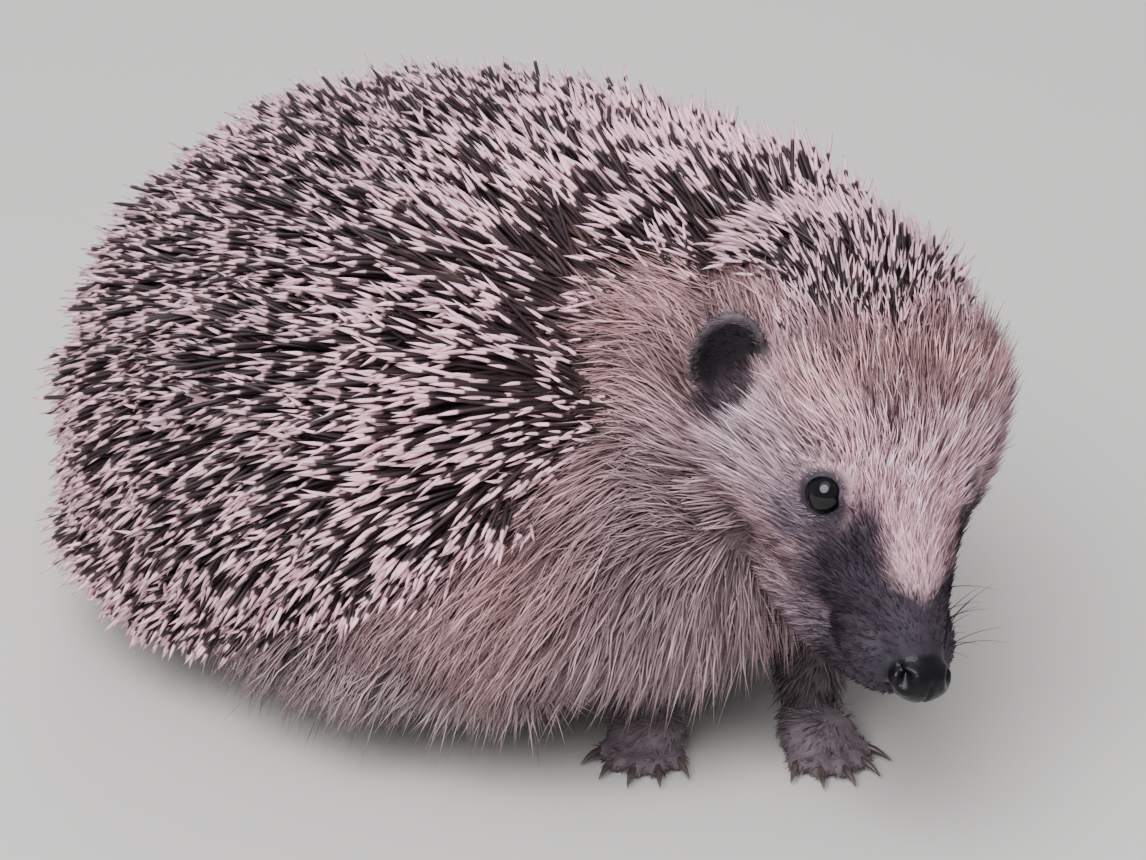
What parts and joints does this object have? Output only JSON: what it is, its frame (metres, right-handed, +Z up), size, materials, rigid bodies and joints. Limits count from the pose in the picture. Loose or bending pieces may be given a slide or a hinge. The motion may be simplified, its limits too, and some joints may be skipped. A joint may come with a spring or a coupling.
{
  "type": "european hedgehog, standing still model",
  "caption": "Life-size still model of an adult hedgehog in a walking stance, head lowered and turned to its right, spiny back over furred flanks.",
  "frame": {"origin": "middle of the footprint of the whole animal, on the floor under its soles", "axes": "+X forward along the trunk, +Y to the animal's left, +Z up"},
  "size_m": [0.1966, 0.133, 0.0975],
  "materials": {
    "spines": "smooth horn spines, dark with pale tips",
    "body_fur": "long coarse hair",
    "face_fur": "short dense hair, pale brow over a dark mask",
    "leg_fur": "short sparse hair",
    "bare_skin": "soft wrinkled skin",
    "nose_skin": "wet and pebbled",
    "eyes": "wet and glossy",
    "claws": "polished horn"
  },
  "bodies": {
    "root": {"spiny_back": "spines", "flanks_and_belly": "body_fur", "neck": "body_fur", "head": "face_fur", "nose": "nose_skin", "tail": "bare_skin", "ear_left": "bare_skin", "eye_left": "eyes", "foreleg_left": "leg_fur", "forepaw_left": "bare_skin", "forepaw_left_claw_1": "claws", "forepaw_left_claw_2": "claws", "forepaw_left_claw_3": "claws", "forepaw_left_claw_4": "claws", "forepaw_left_claw_5": "claws", "hindleg_left": "leg_fur", "hindpaw_left": "bare_skin", "hindpaw_left_claw_1": "claws", "hindpaw_left_claw_2": "claws", "hindpaw_left_claw_3": "claws", "hindpaw_left_claw_4": "claws", "hindpaw_left_claw_5": "claws", "ear_right": "bare_skin", "eye_right": "eyes", "foreleg_right": "leg_fur", "forepaw_right": "bare_skin", "forepaw_right_claw_1": "claws", "forepaw_right_claw_2": "claws", "forepaw_right_claw_3": "claws", "forepaw_right_claw_4": "claws", "forepaw_right_claw_5": "claws", "hindleg_right": "leg_fur", "hindpaw_right": "bare_skin", "hindpaw_right_claw_1": "claws", "hindpaw_right_claw_2": "claws", "hindpaw_right_claw_3": "claws", "hindpaw_right_claw_4": "claws", "hindpaw_right_claw_5": "claws"}
  },
  "joints": []
}
